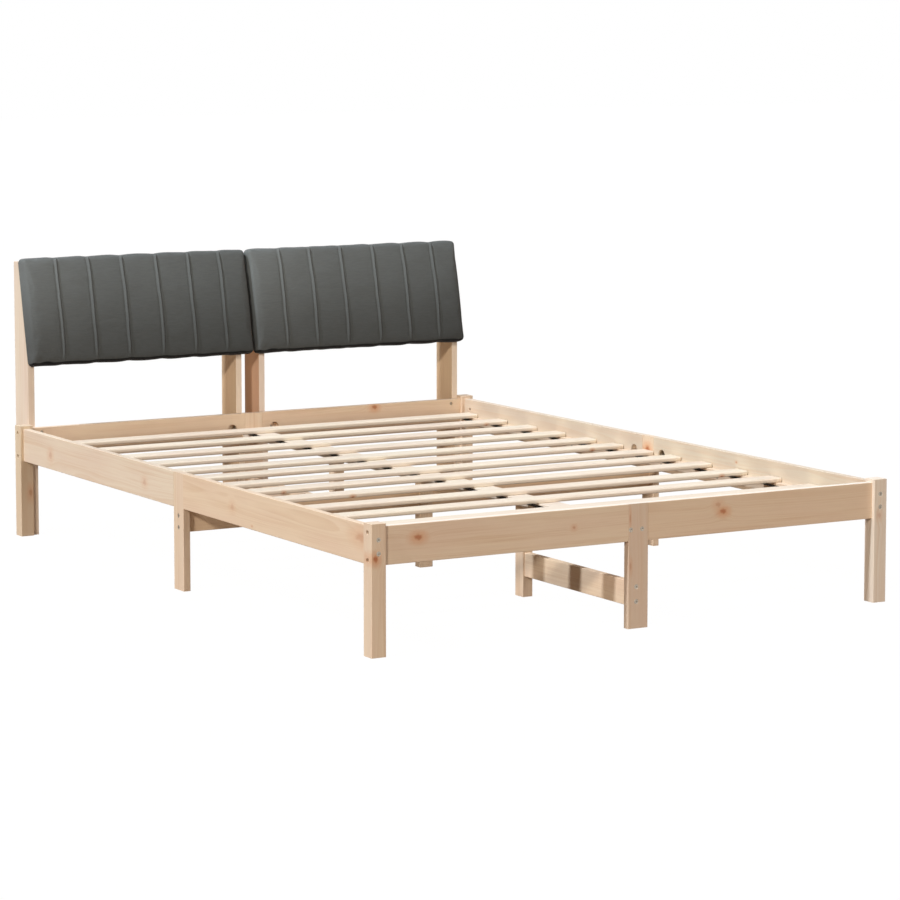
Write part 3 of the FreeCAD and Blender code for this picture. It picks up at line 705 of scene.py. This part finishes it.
def start_pad(name):
    """Rings that shrink by roll x (1 - cosine) while they rise by thickness x sine; flat back."""
    edge = outline_of(PAD_WIDE - 2 * SMALLER, PAD_LONG - 2 * SMALLER, CORNER)
    turn = np.linspace(0, math.pi / 2, 9)
    rings = []
    for near, up in zip(RIM_ROLL * (1 - np.cos(turn)), (PAD_THICK - BACK_LIFT) * np.sin(turn)):
        scale = 1 - near / np.array([PAD_WIDE / 2, PAD_LONG / 2])
        rings.append(np.column_stack([edge * scale, np.full(len(edge), BACK_LIFT + up)]))
    middle = [np.array([[0, 0, rings[-1][0, 2]]]), np.array([[0, 0, BACK_LIFT]])]
    points = np.concatenate(rings + middle)
    count, last = len(edge), (len(rings) - 1) * len(edge)
    around = np.arange(count)
    faces = grid_faces(len(rings), count, closed=True).tolist()
    beside = (around + 1) % count
    top = np.stack([last + around, last + beside, np.full(count, len(points) - 2)], -1)
    under = np.stack([beside, around, np.full(count, len(points) - 1)], -1)
    print(name, "starts with", len(points), "points,", count, "round its back edge")
    return mesh_object(name, points, faces + top.tolist() + under.tolist())


# %% Helpers to read and write points


def points_of(mesh):
    """A mesh's points as an array."""
    flat = np.empty(len(mesh.vertices) * 3)
    mesh.vertices.foreach_get("co", flat)
    return flat.reshape(-1, 3)


def put_points(mesh, points):
    """Writes an array of points back into a mesh."""
    mesh.vertices.foreach_set("co", points.ravel())
    mesh.update()


def settled(piece):
    """Replaces a piece's mesh by what its modifiers make of it, and drops them."""
    view = bpy.context.evaluated_depsgraph_get()
    mesh = bpy.data.meshes.new_from_object(piece.evaluated_get(view))
    old = piece.data
    piece.modifiers.clear()
    piece.data = mesh
    bpy.data.meshes.remove(old)
    return piece


def remeshed(piece, size):
    """An even skin of small squares over a closed form."""
    skin = piece.modifiers.new("even_skin", "REMESH")
    skin.mode = "VOXEL"
    skin.voxel_size = size
    return settled(piece)


print("mesh helpers ready")

# %% [markdown]
# ## The pads: filling
#
# The remesh makes the pad's skin an even net. The back and the six seam lines are pinned, as the
# staples and stitches hold them. Twenty frames of pressure with no gravity blow the rest up, and
# the result is held back softly: a point that wants to move far only moves up to the cap.

# %% Fill the pads
STAPLED, STITCHED, SKIN = 0.004, 0.0030, 0.005


def filled(piece, pressure=4.0, cap=0.0045, frames=20):
    """Moves each point by step x cap / (cap + its length), where step is what the pressure did."""
    start = points_of(piece.data)
    near_seam = np.abs(start[:, :1] - SEAMS[None]).min(1) < STITCHED
    held = (start[:, 2] < STAPLED) | (near_seam & (start[:, 2] > 0.7 * PAD_THICK))
    pins = piece.vertex_groups.new(name="held")
    pins.add(np.flatnonzero(held).tolist(), 1.0, "REPLACE")
    cloth = piece.modifiers.new("filling", "CLOTH")
    cloth.settings.use_pressure = True
    cloth.settings.uniform_pressure_force = pressure
    cloth.settings.effector_weights.gravity = 0.0
    cloth.settings.vertex_group_mass = "held"
    cloth.settings.quality = 5
    cloth.point_cache.frame_start, cloth.point_cache.frame_end = 1, frames
    for number in range(1, frames + 1):
        scene.frame_set(number)
    view = bpy.context.evaluated_depsgraph_get()
    step = points_of(piece.evaluated_get(view).data) - start
    piece.modifiers.clear()
    piece.vertex_groups.clear()
    scene.frame_set(1)
    length = np.linalg.norm(step, axis=1, keepdims=True)
    put_points(piece.data, start + step * cap / (cap + length))
    print(piece.name, "was pushed up to", round(float(length.max()) * 1000, 1), "mm")
    return piece


def stretched(piece, crown=0.0080):
    """Full size for the rim, and a front raised by crown x (1 - (2 y / length) ^ 2 - 0.4)."""
    points = points_of(piece.data)
    low, high = points[:, :2].min(0), points[:, :2].max(0)
    full = np.array([PAD_WIDE, PAD_LONG])
    points[:, :2] = (points[:, :2] - (low + high) / 2) * full / (high - low)
    front = np.clip(points[:, 2] / PAD_THICK, 0, 1) ** 2
    points[:, 2] += crown * front * (1 - (2 * points[:, 1] / PAD_LONG) ** 2) - 0.4 * crown * front
    put_points(piece.data, points)
    return piece


def doubled(piece):
    """One level of subdivision, applied."""
    finer = piece.modifiers.new("finer", "SUBSURF")
    finer.levels = finer.render_levels = 1
    return settled(piece)


pads = []
for side, name in ((-1, "pad_left"), (1, "pad_right")):
    pad = remeshed(start_pad(name), SKIN)
    pad = filled(pad)
    pads.append((side, doubled(stretched(pad))))
print("pads:", [(pad.name, len(pad.data.vertices)) for side, pad in pads])

# %% [markdown]
# ## The pads: raised seams
#
# Each seam is a pin tuck: a fold of fabric that is pinched and sewn, so it stands up as a narrow
# ridge with a stitched valley along both sides. It could be a separate cord, but the fabric runs
# through it, so it is raised from the skin itself. The skin is first made finer along the seams.
# The tucks wander a little, because they are sewn by hand, and fade out near the bottom edge.

# %% Raise the seams
TUCK_HALF, TUCK_HIGH = 0.0045, 0.0044
VALLEY_AT, VALLEY_WIDE, VALLEY_DEEP = 1.45, 0.38, 0.22
RIM_PULL, RIM_WAVE, RIPPLE = 0.0016, 0.0006, 0.00035


def finer_near_seams(piece, reach=0.0085):
    """Halves the edges on the front within reach of a seam."""
    made = bmesh.new()
    made.from_mesh(piece.data)
    near = [edge for edge in made.edges
            if edge.verts[0].co.z > 0.5 * PAD_THICK
            and np.abs(edge.verts[0].co.x - SEAMS).min() < reach]
    bmesh.ops.subdivide_edges(made, edges=near, cuts=1, use_grid_fill=True, smooth=0.0)
    made.to_mesh(piece.data)
    made.free()
    return len(near)


def tuck(distance):
    """Across a tuck, in half widths: (1 - s^2)^2 inside, and a shallow valley just outside."""
    inside = np.clip(1 - distance ** 2, 0, 1) ** 2
    valley = np.exp(-((np.abs(distance) - VALLEY_AT) / VALLEY_WIDE) ** 2)
    return inside - VALLEY_DEEP * valley


def raised(piece, side):
    """Pushes the front out by the tucks' height, ripples it, and draws the rim in at each seam."""
    points = points_of(piece.data)
    x, y, out = points.T
    front = np.clip((out - 0.55 * PAD_THICK) / (0.3 * PAD_THICK), 0, 1)
    up = y / PAD_LONG + 0.5
    fade = np.clip((up - 0.035) / 0.09, 0, 1) * np.clip((0.995 - up) / 0.03, 0, 1)
    lift = np.zeros(len(x))
    for number, seam in enumerate(SEAMS):
        phase = 1.7 * number + side
        wander = 0.0007 * np.sin(9 * up + phase) + 0.0003 * np.sin(23 * up + 2 * phase)
        lift += tuck((x - seam - wander) / TUCK_HALF)
    rim = np.clip((np.abs(y) / PAD_LONG - 0.44) / 0.06, 0, 1)
    pull = sum(np.exp(-((x - seam) / 0.014) ** 2) for seam in SEAMS)
    points[:, 1] -= np.sign(y) * rim * (RIM_PULL * pull + RIM_WAVE * np.sin(70 * x + 2 * side))
    ripple = np.sin(31 * x + 9 * y + side) * np.sin(47 * y - 13 * x) * RIPPLE
    points[:, 2] = out + front * (TUCK_HIGH * fade * lift + ripple)
    put_points(piece.data, points)


for side, pad in pads:
    count = finer_near_seams(pad)
    raised(pad, side)
    print(pad.name, "halved", count, "edges, now", len(pad.data.polygons), "faces")

# %% [markdown]
# ## The pads: into place
#
# The pads were made lying on their backs, where the arithmetic is simple. Now the back is pressed
# in where the panel sits, and each pad is stood up against the slanted edges of its two posts.

# %% Stand the pads up
PANEL_THICK, PANEL_X, PANEL_Y, PANEL_HALF = 0.0093, 0.3495, 0.1517, (0.3374, 0.1444)


def stood_up(piece, side):
    """Place = foot of the slope + across x (1,0,0) + up x (0,sin,cos) + out x (0,-cos,sin)."""
    points = points_of(piece.data)
    across, along, out = points.T
    middle = side * PAD_X + PAD_DRIFT
    behind = ((np.abs(across - (side * PANEL_X - middle)) < PANEL_HALF[0])
              & (np.abs(along + PAD_LONG / 2 - PANEL_Y) < PANEL_HALF[1]) & (out < 0.003))
    out = np.where(behind, PANEL_THICK, np.maximum(out, 0.0004))
    up = along + PAD_LONG / 2
    sine, cosine = math.sin(LEAN), math.cos(LEAN)
    x = middle + across
    y = PAD_FOOT_Y + up * sine - out * cosine
    z = PAD_FOOT_Z + up * cosine + out * sine
    put_points(piece.data, np.stack([x, y, z], -1))


for side, pad in pads:
    stood_up(pad, side)
    print(pad.name, "reaches z", round(float(points_of(pad.data)[:, 2].max()), 4))

# %% [markdown]
# ## Fabric
#
# The cover is a plain weave in dark grey, with threads of slightly different greys. From a step
# away the weave is only a fine tooth, and what one sees is its soft sheen and small clouds of tone.
# The weave effect crosses two sets of waves at thread width, and noise pushes the threads about.
# Painted light makes each pad paler towards its top and left edge and darker towards its bottom and
# right edge, and painted shade turns the faces under the pad near black.

# %% Build the weave effect and the cover


def weave_effect():
    """Over and under: height = 0.5 + 0.5 x sine across the warp x sine across the weft."""
    tree, given, result = effect(
        "plain weave",
        (("Vector", "Vector"), ("Threads", "Float"), ("Slub", "Float")),
        (("Height", "Float"), ("Melange", "Float")),
    )
    noise = node(tree, "TexNoise", Vector=given["Vector"], Scale=420.0, Detail=2.0)
    shift = maths(tree, "MULTIPLY", noise.outputs["Fac"], given["Slub"])
    parts = node(tree, "SeparateXYZ", Vector=given["Vector"]).outputs
    warp = maths(tree, "SINE", maths(tree, "MULTIPLY_ADD", parts["X"], given["Threads"], shift))
    weft = maths(tree, "SINE", maths(tree, "MULTIPLY_ADD", parts["Z"], given["Threads"], shift))
    crossing = maths(tree, "MULTIPLY", warp, weft)
    feed(tree, result["Height"], maths(tree, "MULTIPLY_ADD", crossing, 0.5, 0.5))
    drawn = vectors(tree, "MULTIPLY", given["Vector"], (0.12, 1.0, 1.0))
    coarse = node(tree, "TexNoise", Vector=drawn, Scale=330.0, Detail=3.0, Roughness=0.6)
    feed(tree, result["Melange"], rise(tree, coarse.outputs["Fac"], 0.3, 0.7))
    return tree


plain_weave = weave_effect()
COVER_SPAN = 0.7  # from one pad's middle to the next, near enough


def cover():
    """Dark grey upholstery with a woven tooth, small creases, a soft sheen, and painted light and
    shade.
    """
    made, tree, shader = new_material("grey_cover")
    place = node(tree, "TexCoord").outputs["Object"]
    level = node(tree, "Mapping", Vector=place, Rotation=(LEAN, 0.0, 0.0)).outputs["Vector"]
    weave = placed(tree, plain_weave, Vector=level, Threads=4200.0, Slub=5.0)
    colour = mixed(tree, weave["Melange"], (0.106, 0.117, 0.119, 1), (0.119, 0.131, 0.133, 1))
    cloud = node(tree, "TexNoise", Vector=level, Scale=11.0, Detail=2.0).outputs["Fac"]
    colour = mixed(tree, maths(tree, "MULTIPLY", cloud, 0.35), colour, (0.094, 0.099, 0.097, 1))
    spot = node(tree, "SeparateXYZ", Vector=place).outputs
    # Painted light: paler towards the top of each pad, darker towards its bottom.
    painted_top_light = rise(tree, spot["Z"], 0.46, 0.78)
    colour = mixed(tree, painted_top_light, mixed(tree, 1.0, colour, (0.63, 0.63, 0.63, 1), "MULTIPLY"),
                   mixed(tree, 1.0, colour, (1.28, 1.32, 1.34, 1), "MULTIPLY"))
    # Painted light: paler towards each pad's left edge, darker towards its right.
    across = maths(tree, "MULTIPLY_ADD", spot["X"], 1 / COVER_SPAN, 1 - PAD_DRIFT / COVER_SPAN)
    across = maths(tree, "FRACT", across)
    colour = mixed(tree, rise(tree, across, 0.45, 0.0), colour,
                   mixed(tree, 1.0, colour, (1.22, 1.22, 1.22, 1), "MULTIPLY"))
    colour = mixed(tree, rise(tree, across, 0.50, 1.0), colour,
                   mixed(tree, 1.0, colour, (0.88, 0.88, 0.88, 1), "MULTIPLY"))
    facing = node(tree, "SeparateXYZ", Vector=node(tree, "NewGeometry").outputs["Normal"]).outputs
    # Painted shade: faces that look down turn near black, as the shade under each pad.
    colour = mixed(tree, rise(tree, facing["Z"], -0.22, -0.40), colour, (0.002, 0.002, 0.002, 1))
    feed(tree, shader.inputs["Base Color"], colour)
    shader.inputs["Roughness"].default_value = 0.85
    shader.inputs["Specular IOR Level"].default_value = 0.12
    shader.inputs["Sheen Weight"].default_value = 0.16
    shader.inputs["Sheen Roughness"].default_value = 0.45
    creases = node(tree, "TexNoise", Vector=vectors(tree, "MULTIPLY", level, (0.35, 1.0, 1.0)),
                   Scale=34.0, Detail=3.0).outputs["Fac"]
    soft = node(tree, "Bump", Strength=0.35, Distance=0.006, Height=creases).outputs["Normal"]
    tooth = node(tree, "Bump", Strength=0.5, Distance=0.0004, Height=weave["Height"], Normal=soft)
    feed(tree, shader.inputs["Normal"], tooth.outputs["Normal"])
    return made


grey_cover = cover()
for (side, pad), stands_for in zip(pads, ("cushion_left", "cushion_right")):
    finish_piece(pad, grey_cover, stands_for)
